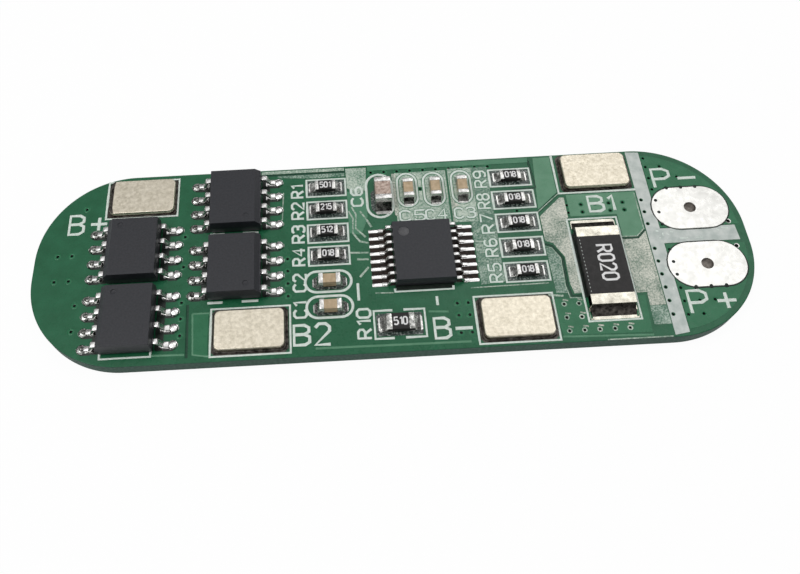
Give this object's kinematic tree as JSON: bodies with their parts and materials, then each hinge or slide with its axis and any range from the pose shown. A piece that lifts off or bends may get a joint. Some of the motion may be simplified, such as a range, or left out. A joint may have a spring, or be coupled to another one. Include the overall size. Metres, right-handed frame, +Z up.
{
  "type": "battery protection board",
  "caption": "Slim round-ended circuit board with power transistors, controller, chip parts, weld-on battery tabs and plated output pads, for a small battery pack.",
  "frame": {"origin": "centre of the board's flat underside, on the surface it lies on", "axes": "+X along the board towards the output pads, +Y across it towards the row of small capacitors, +Z up out of the side with the parts"},
  "size_m": [0.0536, 0.016, 0.0027],
  "materials": {
    "board": "green solder mask over woven glass laminate, gloss",
    "pad_plating": "hot tinned copper, bright",
    "nickel_tab": "plain nickel, satin",
    "tab_solder": "solder, dull",
    "moulded_package": "moulded epoxy, fine matt grain",
    "lead_frame": "tin plated, satin",
    "solder": "solder, bright",
    "resistor_coat": "black glass coat on a pale ceramic core",
    "capacitor_ceramic": "tan fired ceramic, satin",
    "pink_ceramic": "pinkish brown fired ceramic, satin",
    "end_cap": "tin plated, satin"
  },
  "bodies": {
    "root": {"circuit_board": "board", "output_pad_negative": "pad_plating", "output_pad_positive": "pad_plating", "battery_tab_positive": "nickel_tab", "battery_tab_negative": "nickel_tab", "battery_tab_first": "nickel_tab", "battery_tab_second": "nickel_tab", "tab_solder": "tab_solder", "mosfet_1_body": "moulded_package", "mosfet_2_body": "moulded_package", "mosfet_3_body": "moulded_package", "mosfet_4_body": "moulded_package", "controller_body": "moulded_package", "mosfet_1_leads": "lead_frame", "mosfet_2_leads": "lead_frame", "mosfet_3_leads": "lead_frame", "mosfet_4_leads": "lead_frame", "controller_leads": "lead_frame", "mosfet_1_solder": "solder", "mosfet_2_solder": "solder", "mosfet_3_solder": "solder", "mosfet_4_solder": "solder", "controller_solder": "solder", "resistor_solder": "solder", "capacitor_solder": "solder", "shunt_solder": "solder", "resistor_1_body": "resistor_coat", "resistor_2_body": "resistor_coat", "resistor_3_body": "resistor_coat", "resistor_4_body": "resistor_coat", "resistor_5_body": "resistor_coat", "resistor_6_body": "resistor_coat", "resistor_7_body": "resistor_coat", "resistor_8_body": "resistor_coat", "resistor_9_body": "resistor_coat", "resistor_10_body": "resistor_coat", "shunt_body": "resistor_coat", "capacitor_1_body": "capacitor_ceramic", "capacitor_2_body": "capacitor_ceramic", "capacitor_3_body": "capacitor_ceramic", "capacitor_4_body": "capacitor_ceramic", "capacitor_5_body": "capacitor_ceramic", "capacitor_6_body": "pink_ceramic", "resistor_1_end_caps": "end_cap", "resistor_2_end_caps": "end_cap", "resistor_3_end_caps": "end_cap", "resistor_4_end_caps": "end_cap", "resistor_5_end_caps": "end_cap", "resistor_6_end_caps": "end_cap", "resistor_7_end_caps": "end_cap", "resistor_8_end_caps": "end_cap", "resistor_9_end_caps": "end_cap", "resistor_10_end_caps": "end_cap", "capacitor_1_end_caps": "end_cap", "capacitor_2_end_caps": "end_cap", "capacitor_3_end_caps": "end_cap", "capacitor_4_end_caps": "end_cap", "capacitor_5_end_caps": "end_cap", "capacitor_6_end_caps": "end_cap", "shunt_end_caps": "end_cap"}
  },
  "joints": []
}
